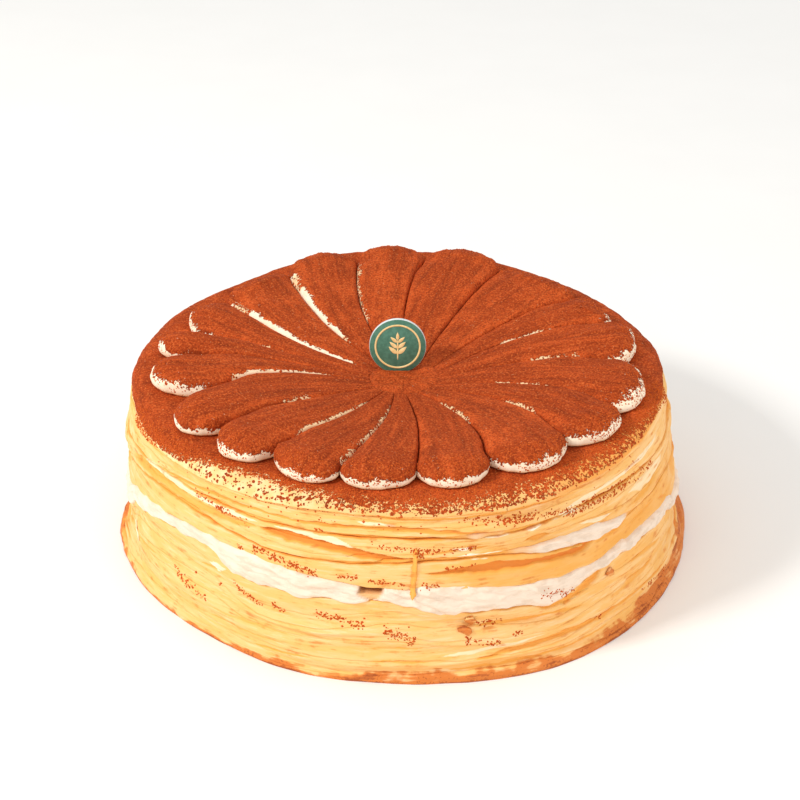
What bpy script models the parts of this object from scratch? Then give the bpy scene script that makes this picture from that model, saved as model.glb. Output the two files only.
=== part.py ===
"""A round crepe cake, nine inches across: crepes stacked round three layers of cream, eighteen piped cream
petals dusted with cocoa on top, and a chocolate disc standing in the middle of the flower."""

import math
import random

import bmesh
import bpy
from mathutils import Matrix, Vector

# Sizes are in millimetres and angles in degrees, counted from +X towards +Y. The front of the cake faces -Y.
MM = 0.001
GAP = 0.3  # clear space between two neighbouring pieces

# The stack. Its wall curves in towards the shoulder and flares at the foot, and it isn't quite upright.
WALL_RADIUS = 110.0
WALL_DRAW_IN = 4.8  # radius lost at the shoulder
FOOT_FLARE_HEIGHT = 4.0
FOOT_OFFSET = Vector((2.1, -2.5, 0.0))
SHOULDER_OFFSET = Vector((0.0, -2.0, 0.0))
RIM_POINTS = 48
EDGE_ROUNDING = 1.3  # how far a crepe's upper edge is drawn in
EDGE_UNDERCUT = 0.4  # how far its lower edge is drawn in

# Laid by hand, the stack isn't quite round: (angle, flare of the foot, how much further out the wall stands, and
# how much further out the rim of the top).
ROUNDNESS = (
    (0, 8.0, -2.4, -4.0),
    (25, 4.0, -4.0, -6.5),
    (48, 3.0, -4.0, -6.0),
    (80, 3.0, -1.0, -0.5),
    (102, 3.0, -1.0, -0.5),
    (135, 3.0, -4.5, -6.0),
    (158, 3.0, -3.5, -5.0),
    (188, 9.0, -1.7, -0.5),
    (222, -0.5, -0.8, 0.0),
    (255, 0.8, 0.0, 0.0),
    (300, 6.6, 0.0, 0.0),
    (330, 6.6, -1.5, 0.0),
)

# The thick layer of cream rises and falls round the cake: (angle, middle height, thickness).
MAIN_CREAM = (
    (0, 23.0, 4.5),
    (45, 28.0, 5.0),
    (90, 33.0, 6.5),
    (140, 30.0, 5.0),
    (175, 21.5, 6.0),
    (190, 23.5, 8.0),
    (205, 34.5, 6.4),
    (215, 40.3, 5.8),
    (230, 43.6, 4.4),
    (241, 39.2, 11.3),
    (252, 37.2, 8.6),
    (267, 36.8, 4.6),
    (281, 33.0, 9.6),
    (301, 29.6, 10.0),
    (311, 32.2, 3.2),
    (324, 30.6, 5.0),
    (335, 28.5, 4.6),
    (347, 23.6, 4.6),
)
MAIN_CREAM_MIDDLE = 35.0
MAIN_CREAM_CENTRE_THICKNESS = 7.0

# Two thin layers of cream swell out at one place each: (usual thickness, swelling, its angle, its half width).
UPPER_CREAM = (1.3, 4.6, 307, 11)
TOP_CREAM = (1.1, 1.4, 288, 9)

# Each crepe's share of the height below and above the thick cream, from the bottom up.
CREPES_BELOW = (0.11, 0.11, 0.10, 0.15, 0.11, 0.11, 0.14, 0.17)
CREPES_UNDER_UPPER_CREAM = (0.36,)
CREPES_UNDER_TOP_CREAM = (0.10, 0.11, 0.12)
CREPES_OVER_TOP_CREAM = (0.13, 0.10, 0.08)

# The top crepe: a shallow dish whose rim rolls over the stack's shoulder.
SHOULDER_HEIGHT = 66.4
SHOULDER_WOBBLE = 0.7
TOP_HEIGHT = 70.7
TOP_FLAT_RADIUS = 97.0
DISH_HEIGHT = 64.0  # the top crepe's upper side in the middle
TOP_CREPE_THICKNESS = 3.6

# The flower. Its grooves run from near a point in front of the cake's middle out to these angles. They bow to
# the right of the way in by so much at half way, and end so far inside a ring: (angle, bow, short of the ring).
# The rings of the grooves' ends and of the petals' tips are both a little off centre.
FLOWER_CENTRE = Vector((2.0, -10.0, 0.0))
GROOVES = (
    (274, 2.5, 2.5),
    (291, 5.0, 4.7),
    (311, 7.0, 3.4),
    (330, 6.0, 1.5),
    (354, 4.5, 6.5),
    (375, 6.0, 2.5),
    (393, 4.0, 3.0),
    (420, 2.0, 2.5),
    (442.5, 4.5, 2.0),
    (462, 6.0, 2.0),
    (484, 6.0, 3.0),
    (509, 5.5, 5.0),
    (530.5, 0.5, 10.5),
    (543, -1.0, 9.0),
    (564, -9.0, 12.0),
    (583.5, -2.0, 5.0),
    (600, 3.0, 4.4),
    (617, 4.0, 0.2),
)
GROOVE_END_RADIUS = 88.5
GROOVE_END_SHIFT = 3.0
PETAL_TIP_RADIUS = 97.3
PETAL_TIP_SHIFT = 2.0
FLOWER_SHIFT_TOWARDS = 300
PETAL_START = 13.5  # distance of a petal's narrow end from the flower's centre
PETAL_CREST_SETBACK = 11.0  # from its tip in to the highest point
PETAL_HEIGHT = 9.0
BACK_SLUMP = 0.03  # how much lower the petals at the back are, as a share of their height
RIM_SLUMP = 0.03  # and how much lower where the rim of the top is drawn in, for each millimetre
RIM_FOLLOWING = 1.1  # how closely the petals' tips follow the rim
PETAL_START_HEIGHT = 1.7
GROOVE_DEPTH = 3.9
SIDE_STEPS = 6
TIP_STEPS = 9

# The cream in the flower's centre, and the disc pushed into it.
CENTRE_RADIUS = 13.2
CENTRE_POINTS = 28
CENTRE_CREAM_HEIGHT = 1.6
DISC_RADIUS = 11.0
DISC_THICKNESS = 2.2
DISC_BEVEL = 0.35
DISC_POINTS = 32
DISC_LEAN = 8.0
DISC_CENTRE = Vector((-0.4, -0.7, 76.1))

CREPE_GOLD = (0.93, 0.62, 0.24, 1.0)
CREPE_BROWNED = (0.62, 0.25, 0.08, 1.0)
COCOA = (0.42, 0.10, 0.03, 1.0)
CREAM_WHITE = (0.94, 0.86, 0.74, 1.0)
DISC_GREEN = (0.06, 0.18, 0.12, 1.0)


def clear_scene():
    for old in list(bpy.data.objects):
        bpy.data.objects.remove(old, do_unlink=True)


def finish(name, colour, roughness):
    material = bpy.data.materials.new(name)
    material.use_nodes = True
    shader = material.node_tree.nodes["Principled BSDF"]
    shader.inputs["Base Color"].default_value = colour
    shader.inputs["Roughness"].default_value = roughness
    shader.inputs["Metallic"].default_value = 0.0
    material.diffuse_color = colour
    return material


def add_piece(name, bm, material):
    """Makes an object from a mesh worked out in millimetres."""
    bmesh.ops.recalc_face_normals(bm, faces=bm.faces)
    bmesh.ops.scale(bm, vec=(MM, MM, MM), verts=bm.verts)
    mesh = bpy.data.meshes.new(name)
    bm.to_mesh(mesh)
    bm.free()
    mesh.materials.append(material)
    mesh.shade_smooth()
    mesh.set_sharp_from_angle(angle=math.radians(40))
    piece = bpy.data.objects.new(name, mesh)
    bpy.context.scene.collection.objects.link(piece)
    return piece


def add_band(bm, lower, upper):
    """Joins two closed rings of points that have the same count."""
    count = len(lower)
    for i in range(count):
        j = (i + 1) % count
        bm.faces.new((lower[i], lower[j], upper[j], upper[i]))


def add_fan(bm, ring, point):
    """Closes a ring of points to a single point."""
    count = len(ring)
    for i in range(count):
        bm.faces.new((ring[i], ring[(i + 1) % count], point))


def polar(radius, angle, height=0.0):
    return Vector((radius * math.cos(math.radians(angle)), radius * math.sin(math.radians(angle)), height))


def eased(x):
    x = min(max(x, 0.0), 1.0)
    return x * x * (3 - 2 * x)


def round_the_cake(controls, angle, column):
    """Reads one column of a table of (angle, ...) rows, easing from row to row and back to the first."""
    rows = [*controls, (controls[0][0] + 360, *controls[0][1:])]
    for before, after in zip(rows, rows[1:]):
        if before[0] <= angle % 360 <= after[0]:
            share = eased((angle % 360 - before[0]) / (after[0] - before[0]))
            return before[column] + (after[column] - before[column]) * share
    raise ValueError(angle)


def swelling(cream, angle):
    """The thickness of a thin cream layer, which swells round one angle."""
    usual, extra, middle, half_width = cream
    away = (angle - middle + 180) % 360 - 180
    return usual + extra * eased(1 - abs(away) / (2 * half_width))


def wavy(rng, first, last):
    """A smooth wave round the cake between about -1 and 1, with a random phase for each of its periods."""
    terms = [(turns, rng.uniform(0, 2 * math.pi)) for turns in range(first, last + 1)]
    size = 1.3 / math.sqrt(len(terms))
    return lambda angle: size * sum(math.sin(turns * math.radians(angle) + phase) for turns, phase in terms)


def wall_radius(height, angle):
    """The stack's outer wall before each layer's own unevenness."""
    share = height / SHOULDER_HEIGHT
    flare = round_the_cake(ROUNDNESS, angle, 1) * math.exp(-height / FOOT_FLARE_HEIGHT)
    lean = FOOT_OFFSET.lerp(SHOULDER_OFFSET, share).dot(polar(1.0, angle))
    return WALL_RADIUS - WALL_DRAW_IN * share * share + round_the_cake(ROUNDNESS, angle, 2) + flare + lean


class Boundary:
    """The surface between two layers: straight lines from a point in the middle to a wavy rim."""

    def __init__(self, middle, rim):
        self.middle = middle
        self.rim = rim

    def height(self, radius, index):
        return self.middle + (self.rim[index] - self.middle) * radius / WALL_RADIUS


def shared_out(shares, waves, angle, total):
    """Splits a height between crepes whose shares vary round the cake."""
    uneven = [share * (1 + 0.32 * wave(angle)) for share, wave in zip(shares, waves)]
    return [total * part / sum(uneven) for part in uneven]


def stack_boundaries(angles, rng):
    """The boundaries from the base up to the top crepe's underside, and the name of the layer under each."""
    below = [wavy(rng, 2, 6) for _ in CREPES_BELOW]
    above_shares = CREPES_UNDER_UPPER_CREAM + CREPES_UNDER_TOP_CREAM + CREPES_OVER_TOP_CREAM
    above = [wavy(rng, 2, 6) for _ in above_shares]
    shoulder = wavy(rng, 1, 5)
    first_cream = len(CREPES_UNDER_UPPER_CREAM)
    second_cream = first_cream + len(CREPES_UNDER_TOP_CREAM)

    def column(angle):
        middle = round_the_cake(MAIN_CREAM, angle, 1)
        thickness = round_the_cake(MAIN_CREAM, angle, 2)
        foot = shared_out(CREPES_BELOW, below, angle, middle - thickness / 2)
        upper = swelling(UPPER_CREAM, angle)
        top = swelling(TOP_CREAM, angle)
        room = SHOULDER_HEIGHT + SHOULDER_WOBBLE * shoulder(angle) - middle - thickness / 2 - upper - top
        head = shared_out(above_shares, above, angle, room)
        return [*foot, thickness, *head[:first_cream], upper, *head[first_cream:second_cream], top, *head[second_cream:]]

    def middle_column():
        foot = [share * (MAIN_CREAM_MIDDLE - MAIN_CREAM_CENTRE_THICKNESS / 2) for share in CREPES_BELOW]
        room = DISH_HEIGHT - TOP_CREPE_THICKNESS - MAIN_CREAM_MIDDLE - MAIN_CREAM_CENTRE_THICKNESS / 2
        room -= UPPER_CREAM[0] + TOP_CREAM[0]
        head = [share * room for share in above_shares]
        thin = [UPPER_CREAM[0]], [TOP_CREAM[0]]
        head = head[:first_cream] + thin[0] + head[first_cream:second_cream] + thin[1] + head[second_cream:]
        return [*foot, MAIN_CREAM_CENTRE_THICKNESS, *head]

    columns = [column(angle) for angle in angles]
    middle = middle_column()
    boundaries = [Boundary(0.0, [0.0] * len(angles))]
    for layer in range(len(middle)):
        rim = [sum(heights[: layer + 1]) for heights in columns]
        boundaries.append(Boundary(sum(middle[: layer + 1]), rim))
    creams = {
        len(CREPES_BELOW): "cream_main",
        len(CREPES_BELOW) + 1 + first_cream: "cream_upper",
        len(CREPES_BELOW) + 2 + second_cream: "cream_top",
    }
    return boundaries, creams


def add_layer(name, angles, below, above, rng, material, is_cream):
    """One crepe or layer of cream between two boundaries, with a rounded and uneven edge."""
    wave = wavy(rng, 2, 9)
    stands_out = rng.uniform(-0.5, 0.1) if is_cream else rng.uniform(-0.7, 0.7)
    depth = 0.5 if is_cream else 0.7
    bm = bmesh.new()
    lower, middle, upper = [], [], []
    half_gap = GAP / 2
    for index, angle in enumerate(angles):
        floor_height = below.height(WALL_RADIUS, index)
        roof_height = above.height(WALL_RADIUS, index)
        edge = wall_radius((floor_height + roof_height) / 2, angle) + stands_out + depth * wave(angle)
        low = edge - EDGE_UNDERCUT
        high = edge - EDGE_ROUNDING
        lift = half_gap if below.middle > 0 else 0.0
        lower.append(bm.verts.new(polar(low, angle, below.height(low, index) + lift)))
        middle.append(bm.verts.new(polar(edge, angle, (floor_height + roof_height) / 2)))
        upper.append(bm.verts.new(polar(high, angle, above.height(high, index) - half_gap)))
    lift = half_gap if below.middle > 0 else 0.0
    add_fan(bm, lower, bm.verts.new((0, 0, below.middle + lift)))
    add_band(bm, lower, middle)
    add_band(bm, middle, upper)
    add_fan(bm, upper, bm.verts.new((0, 0, above.middle - half_gap)))
    return add_piece(name, bm, material)


def dish(radius):
    """The height of the top crepe's upper side."""
    return DISH_HEIGHT + (TOP_HEIGHT - DISH_HEIGHT) * radius / TOP_FLAT_RADIUS


def add_top_crepe(name, angles, below, rng, material):
    """The dished crepe on top. Its edge rolls over the shoulder and ends in a wavy hem."""
    hem = wavy(rng, 2, 8)
    bm = bmesh.new()
    rings = [[] for _ in range(5)]
    for index, angle in enumerate(angles):
        under = below.height(WALL_RADIUS, index) + GAP / 2
        edge = wall_radius(under, angle) + 0.5 * hem(angle)
        inner = edge - EDGE_UNDERCUT
        drawn_in = round_the_cake(ROUNDNESS, angle, 3)
        flat = TOP_FLAT_RADIUS + drawn_in
        roll = (
            (inner, below.height(inner, index) + GAP / 2),
            (edge + 0.2, under + 0.9),
            (edge - 1.5 + 0.3 * drawn_in, under + 2.5),
            (edge - 5.0 + 0.5 * drawn_in, dish(flat) - 0.7),
            (flat, dish(flat)),
        )
        for ring, (radius, height) in zip(rings, roll):
            ring.append(bm.verts.new(polar(radius, angle, height)))
    add_fan(bm, rings[0], bm.verts.new((0, 0, below.middle + GAP / 2)))
    for lower, upper in zip(rings, rings[1:]):
        add_band(bm, lower, upper)
    add_fan(bm, rings[-1], bm.verts.new((0, 0, DISH_HEIGHT)))
    return add_piece(name, bm, material)


def shifted(radius, shift, angle):
    return radius + shift * math.cos(math.radians(angle - FLOWER_SHIFT_TOWARDS))


def groove_line(groove):
    """The groove seen from above, as points from its inner end outwards."""
    angle, bow, short = groove
    end = polar(shifted(GROOVE_END_RADIUS, GROOVE_END_SHIFT, angle) - short, angle)
    outward = (end - FLOWER_CENTRE).normalized()
    sideways = Vector((-outward.y, outward.x, 0.0))
    start = FLOWER_CENTRE + outward * PETAL_START
    shares = [step / SIDE_STEPS for step in range(SIDE_STEPS + 1)]
    return [start.lerp(end, share) + sideways * bow * 4 * share * (1 - share) for share in shares], sideways


def petal_outline(first_groove, last_groove, tip_radius):
    """The petal seen from above, as (edge point, point under the crest, share of the way out)."""
    first, first_side = groove_line(first_groove)
    last, last_side = groove_line(last_groove)
    clearance = GAP / 2 + 0.05
    first = [point + first_side * clearance for point in first]
    last = [point - last_side * clearance for point in last]
    middle = (first[-1] + last[-1]) / 2
    outward = middle.normalized()
    tip_depth = tip_radius - middle.length
    crest = middle + outward * (tip_depth - PETAL_CREST_SETBACK)

    def side(line, step):
        under = crest if step == SIDE_STEPS else (first[step] + last[step]) / 2
        return line[step], under, step / SIDE_STEPS

    outline = [side(first, step) for step in range(SIDE_STEPS)]
    for step in range(TIP_STEPS):
        turn = math.pi * step / (TIP_STEPS - 1)
        across = (last[-1] - first[-1]) / 2 * -math.cos(turn)
        outline.append((middle + across + outward * tip_depth * math.sin(turn), crest, 1.0))
    outline += [side(last, step) for step in reversed(range(SIDE_STEPS))]
    return outline


def add_petal(name, first_groove, last_groove, rng, material):
    """A piped petal: thick and round outside, drawn out thin towards the flower's centre, creased at its sides."""
    middle_angle = (first_groove[0] + last_groove[0]) / 2
    rim = round_the_cake(ROUNDNESS, middle_angle, 3)
    tip_radius = shifted(PETAL_TIP_RADIUS, PETAL_TIP_SHIFT, middle_angle) + RIM_FOLLOWING * rim
    outline = petal_outline(first_groove, last_groove, tip_radius + rng.uniform(-0.6, 0.6))
    size = rng.uniform(0.95, 1.03) - BACK_SLUMP * max(0.0, math.sin(math.radians(middle_angle))) + RIM_SLUMP * rim
    bm = bmesh.new()
    rings = [[] for _ in range(4)]
    for edge, crest, share in outline:
        height = (PETAL_START_HEIGHT + (PETAL_HEIGHT - PETAL_START_HEIGHT) * share) * size
        crease = GROOVE_DEPTH * math.sqrt(share)
        side = height - min(crease, 0.6 * height)
        profile = ((0.03, 0.0), (0.0, 0.45 * side), (0.09, side), (0.42, side + 0.82 * (height - side)))
        for ring, (inset, rise) in zip(rings, profile):
            spot = edge.lerp(crest, inset)
            ring.append(bm.verts.new((spot.x, spot.y, dish(spot.length) + GAP + rise)))
    bm.faces.new(reversed(rings[0]))
    for lower, upper in zip(rings, rings[1:]):
        add_band(bm, lower, upper)
    ridge = []
    for step in range(SIDE_STEPS + 1):
        edge, crest, share = outline[step]
        height = (PETAL_START_HEIGHT + (PETAL_HEIGHT - PETAL_START_HEIGHT) * share) * size
        ridge.append(bm.verts.new((crest.x, crest.y, dish(crest.length) + GAP + height)))
    top = rings[-1]
    last = len(top) - 1
    for step in range(SIDE_STEPS):
        bm.faces.new((top[step], top[step + 1], ridge[step + 1], ridge[step]))
        bm.faces.new((top[last - step - 1], top[last - step], ridge[step], ridge[step + 1]))
    for step in range(SIDE_STEPS, last - SIDE_STEPS):
        bm.faces.new((top[step], top[step + 1], ridge[-1]))
    bm.faces.new((top[last], top[0], ridge[0]))
    return add_piece(name, bm, material)


def disc_shape(extra):
    """The disc, or with some extra all round the slot that it leaves in the cream."""
    bm = bmesh.new()
    bmesh.ops.create_cone(
        bm,
        cap_ends=True,
        segments=DISC_POINTS,
        radius1=DISC_RADIUS + extra,
        radius2=DISC_RADIUS + extra,
        depth=DISC_THICKNESS + 2 * extra,
    )
    if not extra:
        rims = [edge for edge in bm.edges if abs(edge.verts[0].co.z - edge.verts[1].co.z) < 0.01]
        bmesh.ops.bevel(
            bm, geom=rims, offset=DISC_BEVEL, segments=1, profile=0.5, affect="EDGES", material=-1
        )
    upright = Matrix.Rotation(math.radians(90 - DISC_LEAN), 4, "X")
    bmesh.ops.transform(bm, matrix=Matrix.Translation(DISC_CENTRE) @ upright, verts=bm.verts)
    return bm


def add_centre(name, material):
    """The low cream in the middle of the flower, with a slot where the disc was pushed in."""
    bm = bmesh.new()
    rings = [[], [], []]
    for index in range(CENTRE_POINTS):
        angle = 360 * index / CENTRE_POINTS
        for ring, (radius, rise) in zip(rings, ((1.0, 0.0), (0.94, CENTRE_CREAM_HEIGHT), (0.45, 1.9))):
            spot = FLOWER_CENTRE + polar(CENTRE_RADIUS * radius, angle)
            ring.append(bm.verts.new((spot.x, spot.y, dish(spot.length) + GAP + rise)))
    add_fan(bm, rings[0], bm.verts.new((0, 0, DISH_HEIGHT + GAP)))
    add_band(bm, rings[0], rings[1])
    add_band(bm, rings[1], rings[2])
    middle = FLOWER_CENTRE.copy()
    middle.z = dish(FLOWER_CENTRE.length) + GAP + 2.0
    add_fan(bm, rings[2], bm.verts.new(middle))
    centre = add_piece(name, bm, material)
    slot = add_piece("disc_slot", disc_shape(GAP), material)
    slot.hide_render = True
    slot.display_type = "WIRE"
    cut = centre.modifiers.new("slot", "BOOLEAN")
    cut.operation = "DIFFERENCE"
    cut.object = slot
    return centre


def main():
    clear_scene()
    rng = random.Random(18)
    crepe = finish("crepe", CREPE_GOLD, 0.6)
    browned = finish("crepe_browned", CREPE_BROWNED, 0.6)
    cocoa = finish("cocoa", COCOA, 0.9)
    cream = finish("cream", CREAM_WHITE, 0.5)
    green = finish("disc_green", DISC_GREEN, 0.35)

    angles = [270 + 360 * index / RIM_POINTS for index in range(RIM_POINTS)]
    boundaries, creams = stack_boundaries(angles, rng)
    crepes = 0
    for layer, (below, above) in enumerate(zip(boundaries, boundaries[1:])):
        if layer in creams:
            add_layer(creams[layer], angles, below, above, rng, cream, True)
            continue
        crepes += 1
        material = browned if crepes == 1 else crepe
        add_layer(f"crepe_{crepes:02d}", angles, below, above, rng, material, False)
    add_top_crepe("crepe_top", angles, boundaries[-1], rng, cocoa)

    first_again = (GROOVES[0][0] + 360, *GROOVES[0][1:])
    for number, (first, last) in enumerate(zip(GROOVES, (*GROOVES[1:], first_again)), 1):
        add_petal(f"petal_{number:02d}", first, last, rng, cocoa)
    add_centre("cream_centre", cocoa)
    add_piece("disc", disc_shape(0), green)


main()
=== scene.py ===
"""A crepe cake as it comes from the kitchen: draped crepes and whipped cream in the wall, a flower of piped
cream under sifted cocoa on top, and a painted chocolate disc standing in the middle."""

import math
import random

import bmesh
import bpy
from mathutils import Matrix, Vector, noise
from mathutils.bvhtree import BVHTree


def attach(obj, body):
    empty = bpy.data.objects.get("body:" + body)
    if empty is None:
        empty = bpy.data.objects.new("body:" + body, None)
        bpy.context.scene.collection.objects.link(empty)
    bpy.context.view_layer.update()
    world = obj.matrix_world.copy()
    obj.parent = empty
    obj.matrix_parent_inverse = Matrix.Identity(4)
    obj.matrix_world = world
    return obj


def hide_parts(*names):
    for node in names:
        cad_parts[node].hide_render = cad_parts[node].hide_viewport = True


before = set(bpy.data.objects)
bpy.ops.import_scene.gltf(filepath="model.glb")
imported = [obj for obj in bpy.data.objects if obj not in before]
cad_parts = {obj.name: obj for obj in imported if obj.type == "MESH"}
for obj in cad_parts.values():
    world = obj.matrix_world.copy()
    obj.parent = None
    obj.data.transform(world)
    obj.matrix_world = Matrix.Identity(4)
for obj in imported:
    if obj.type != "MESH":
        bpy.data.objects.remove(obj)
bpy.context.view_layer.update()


# --- The crepes in the wall ------------------------------------------------------------------------------
# Fifteen thin pancakes of egg, milk and flour, fried in a pan and laid on each other round the cream. At the
# front they stick together and part only in places; the lowest ones took colour from the hot plate.

MM = 0.001
WALL_STEPS = 900
ROW_HEIGHT = 0.27
RIM_STARTS = 60.0  # a node's points further out than this belong to its rim
PLATE_INSETS = (200.0, 60.0, 14.0, 5.0, 2.2)  # a flat layer's rings, in from its rim; the first is the middle
SEAM = 0.0005
STICKING = 0.15  # each crepe reaches this far over the gap to its neighbour

CREPE_WHITE = (250, 224, 182)
SHRED_WHITE = (252, 238, 214)
CREPE_PALE = (247, 196, 127)
CREPE_LIGHT = (245, 190, 112)
CREPE_GOLDEN = (241, 171, 78)
CREPE_CREASE_SHADE = (232, 140, 54)
CREPE_BROWNED_AND_SHADE = (215, 124, 54)
CREPE_BURNT = (158, 76, 34)

# Where the edges part or fold over at the front: how deep, how golden, and the course: turn, height, how wide
# open. Their gold is partly painted shade in the gap. A shallow one with less than no gold is a pale shred that
# stands out of the wall.
PARTINGS = (
    (0.7, 0.8, ((212, 58.6, 0), (225, 60.9, 1.1), (236, 62.3, 0.9), (250, 61.2, 0.7), (258, 61.3, 1.3))),
    (0.7, 0.8, ((258, 61.3, 1.3), (270, 61.6, 1.5), (280, 60.3, 1.2), (290, 57.8, 0))),
    (0.8, 0.5, ((201, 51, 0), (207, 53, 3.2), (212, 53.9, 4), (220, 54.7, 2.9), (240, 54.9, 1.8), (244, 55.7, 0))),
    (1.6, 1.0, ((243, 55.7, 0), (248, 55.5, 3.4), (256, 54, 2.6), (269, 50.1, 2.5), (275, 49.6, 1.2), (282, 50.4, 0))),
    (0.5, 0.55, ((249, 58.4, 0), (258, 58.3, 0.9), (271, 58.2, 0.9), (286, 56.0, 0))),
    (0.5, 0.6, ((262, 66.0, 0.4), (271, 65.2, 0.8), (291, 64, 0.8), (315, 63, 0))),
    (0.9, 0.7, ((293, 51.3, 0), (296.5, 52, 1.7), (300, 51.6, 0))),
    (0.5, 0.55, ((273.5, 52.2, 0), (281, 52.4, 0.8), (291, 52.2, 0))),
    (1.7, 1.0, ((273.5, 45, 0), (280, 44.8, 1.8), (287, 45, 3.2), (295, 43.7, 2.1), (306, 41.7, 2.1), (310, 43.5, 0))),
    (0.6, 0.8, ((307, 42.2, 0), (312, 45.2, 1), (319, 46.7, 0))),
    (0.7, 0.65, ((307, 41.5, 0), (314, 41.4, 1.3), (322, 41.6, 0))),
    (1.4, 0.75, ((294.5, 26.8, 0), (297.5, 24, 2.6), (303.5, 23.3, 4.0), (308.5, 27, 4.6), (311.5, 28.6, 0))),
    (0.5, 0.6, ((281, 22, 0), (288, 21.2, 0.9), (300, 19, 1.1), (310, 16.9, 0))),
    (0.4, 0.5, ((261, 15, 0), (270, 15.2, 0.9), (281, 14.8, 0))),
    (0.4, 0.5, ((261, 9.8, 0), (270, 9.8, 0.8), (279, 9.2, 0))),
    (0.7, 0.75, ((281, 8.2, 0), (290, 10, 1.2), (299, 10.6, 1.8), (315, 9.8, 1.8), (330, 8.3, 1.2), (340, 8, 0))),
    (0.5, 0.65, ((271, 4.8, 0), (285, 5.1, 0.8), (305, 4.8, 0.8), (321, 4.7, 0))),
    (0.4, 0.45, ((311, 14.6, 0), (320, 15.2, 2.2), (332, 15, 0))),
    (0.5, 0.65, ((202, 16, 0), (209, 19, 1), (218, 21.8, 0))),
    (0.5, 0.65, ((226.5, 29.3, 0), (233, 31.6, 1.1), (238, 35, 0))),
    (0.3, 0.4, ((225, 15.6, 0), (238, 15.4, 0.8), (262, 15.6, 0))),
    (0.3, 0.4, ((222, 11.2, 0), (240, 11, 0.8), (262, 11.3, 0))),
    (0.4, 0.6, ((238, 5.8, 0), (247, 7.2, 1), (258, 8.6, 0))),
    (0.6, 0.8, ((333, 36.2, 0), (336, 34.4, 1.6), (339.5, 32, 0))),
    (0.6, 0.55, ((318, 46.4, 0), (326, 47, 1.6), (338, 47.6, 0))),
    (0.5, 0.5, ((316, 38.6, 0), (326, 38.2, 1.6), (336, 37, 0))),
    (0.5, 0.55, ((316, 24, 0), (326, 22.4, 1.4), (337, 20, 0))),
    (-0.2, -0.8, ((208, 56.4, 0), (214, 57.4, 2.4), (222, 57.8, 2), (236, 57.8, 1.3), (246, 57.6, 0))),
    (-0.2, -0.8, ((245, 57.8, 0), (251, 57.2, 1.4), (258, 56, 2), (263, 53.8, 0))),
    (-0.2, -0.7, ((300, 59, 0), (309, 59.6, 1.5), (325, 60.6, 1.7), (340, 62, 0))),
    (-0.3, -0.9, ((231, 33.2, 0), (234, 33.5, 3.0), (237, 34.6, 0))),
    (-0.3, -1.0, ((283.5, 58.0, 0), (286.2, 57.5, 2.0), (288.5, 56.9, 1.8), (291, 56.3, 0))),
    (-0.3, -1.0, ((292.5, 57.2, 0), (295.2, 56.5, 1.7), (298, 56.7, 0))),
    (-0.3, -0.9, ((298, 57.0, 0), (303, 57.5, 1.5), (307.5, 57.4, 0))),
    (-0.3, -1.0, ((279.5, 50.5, 0), (283, 50, 1.7), (285.5, 49.3, 1.5), (290.5, 49.3, 0))),
    (-0.3, -1.0, ((279, 53, 0), (281.7, 53, 1.3), (284.3, 53, 0))),
    (-0.3, -0.8, ((304, 51.2, 0), (310, 50.2, 1.1), (316, 49.4, 0))),
    (-0.3, -0.45, ((319.5, 50.8, 0), (326, 51, 4.2), (334, 51, 3.6), (339, 51.6, 0))),
    (-0.2, -0.7, ((261, 64, 0), (266, 63.4, 1.2), (271, 62.7, 0))),
    (-0.2, -0.5, ((273, 10.6, 0), (287, 12.4, 1.5), (301, 13, 0))),
)
GOLDEN_CREPES = {"crepe_09": 0.55, "crepe_10": 0.25, "crepe_08": 0.1}
BROWNED_UP_TO = (  # turn, how high the foot is browned
    (10, 4.5),
    (90, 3.5),
    (180, 3.0),
    (195, 2.0),
    (225, 0.8),
    (236, 1.4),
    (245, 4.0),
    (253, 1.6),
    (262, 2.0),
    (272, 5.2),
    (300, 4.0),
    (330, 4.6),
    (345, 8.0),
)


def crepe_names(first, last):
    return [f"crepe_{number:02d}" for number in range(first, last + 1)]


STACK = (
    *crepe_names(1, 8),
    "cream_main",
    "crepe_09",
    "cream_upper",
    *crepe_names(10, 12),
    "cream_top",
    *crepe_names(13, 15),
    "crepe_top",
)


def seen_colour(red, green, blue):
    """A colour as the eye sees it, each part from 0 to 255, as the light that it gives back."""

    def light(part):
        share = part / 255
        return share / 12.92 if share <= 0.04045 else ((share + 0.055) / 1.055) ** 2.4

    return (light(red), light(green), light(blue), 1.0)


def eased(x):
    x = min(max(x, 0.0), 1.0)
    return x * x * (3 - 2 * x)


def ramp(value, start, end):
    """0 up to start and 1 from end on, with a smooth rise between them."""
    return eased((value - start) / (end - start))


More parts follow.
